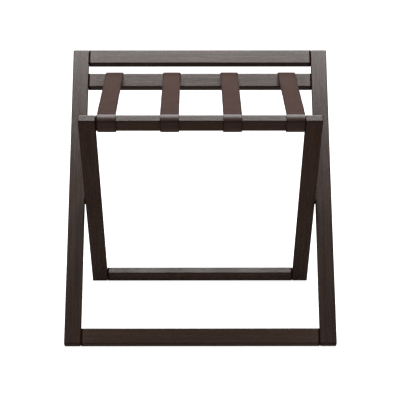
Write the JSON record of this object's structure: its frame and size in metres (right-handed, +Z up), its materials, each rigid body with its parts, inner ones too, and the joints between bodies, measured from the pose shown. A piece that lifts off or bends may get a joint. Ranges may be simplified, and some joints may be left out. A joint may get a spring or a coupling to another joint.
{
  "type": "folding luggage rack",
  "caption": "Folding luggage rack: two crossed frames of rounded dark wood on two side pivots, straps stretched between their top rails, and a raised rail behind as a stop.",
  "frame": {"origin": "on the floor, under the middle of the open rack's width and depth", "axes": "+Z up, -Y to the front, where the low end of the seat is, +X to the right of someone facing the front"},
  "size_m": [0.601, 0.5132, 0.5673],
  "materials": {
    "dark_wood": "dark walnut stain under satin lacquer",
    "raw_wood": "unfinished beech dowel, fluted",
    "strap_leather": "dark brown, fine grain, satin",
    "plated_steel": "zinc plated",
    "nylon": "matt black"
  },
  "bodies": {
    "outer_frame": {"outer_leg_left": "dark_wood", "outer_leg_right": "dark_wood", "luggage_stop_rail": "dark_wood", "rear_strap_rail": "dark_wood", "outer_foot_rail": "dark_wood", "luggage_stop_rail_dowel_left_upper": "raw_wood", "luggage_stop_rail_dowel_left_lower": "raw_wood", "luggage_stop_rail_dowel_right_upper": "raw_wood", "luggage_stop_rail_dowel_right_lower": "raw_wood", "rear_strap_rail_dowel_left_upper": "raw_wood", "rear_strap_rail_dowel_left_lower": "raw_wood", "rear_strap_rail_dowel_right_upper": "raw_wood", "rear_strap_rail_dowel_right_lower": "raw_wood", "outer_foot_rail_dowel_left_upper": "raw_wood", "outer_foot_rail_dowel_left_lower": "raw_wood", "outer_foot_rail_dowel_right_upper": "raw_wood", "outer_foot_rail_dowel_right_lower": "raw_wood", "pivot_bolt_left": "plated_steel", "pivot_bolt_right": "plated_steel", "pivot_sleeve_nut_left": "plated_steel", "pivot_sleeve_nut_right": "plated_steel", "pivot_spacer_left": "nylon", "pivot_spacer_right": "nylon", "strap_1_rear_end": "strap_leather", "strap_2_rear_end": "strap_leather", "strap_3_rear_end": "strap_leather", "strap_4_rear_end": "strap_leather", "strap_1_rear_screw": "plated_steel", "strap_2_rear_screw": "plated_steel", "strap_3_rear_screw": "plated_steel", "strap_4_rear_screw": "plated_steel", "strap_1_span": "strap_leather", "strap_2_span": "strap_leather", "strap_3_span": "strap_leather", "strap_4_span": "strap_leather"},
    "inner_frame": {"inner_leg_left": "dark_wood", "inner_leg_right": "dark_wood", "front_strap_rail": "dark_wood", "inner_foot_rail": "dark_wood", "front_strap_rail_dowel_left_upper": "raw_wood", "front_strap_rail_dowel_left_lower": "raw_wood", "front_strap_rail_dowel_right_upper": "raw_wood", "front_strap_rail_dowel_right_lower": "raw_wood", "inner_foot_rail_dowel_left_upper": "raw_wood", "inner_foot_rail_dowel_left_lower": "raw_wood", "inner_foot_rail_dowel_right_upper": "raw_wood", "inner_foot_rail_dowel_right_lower": "raw_wood", "strap_1_front_loop": "strap_leather", "strap_2_front_loop": "strap_leather", "strap_3_front_loop": "strap_leather", "strap_4_front_loop": "strap_leather", "strap_1_front_screw": "plated_steel", "strap_2_front_screw": "plated_steel", "strap_3_front_screw": "plated_steel", "strap_4_front_screw": "plated_steel"}
  },
  "joints": [
    {"name": "fold", "type": "hinge", "parent": "outer_frame", "child": "inner_frame", "pos_m": [0, -0.01405, 0.26806], "axis": [-1, 0, 0], "range_deg": [0, 76], "deforming": ["strap_1_span", "strap_2_span", "strap_3_span", "strap_4_span"]}
  ]
}
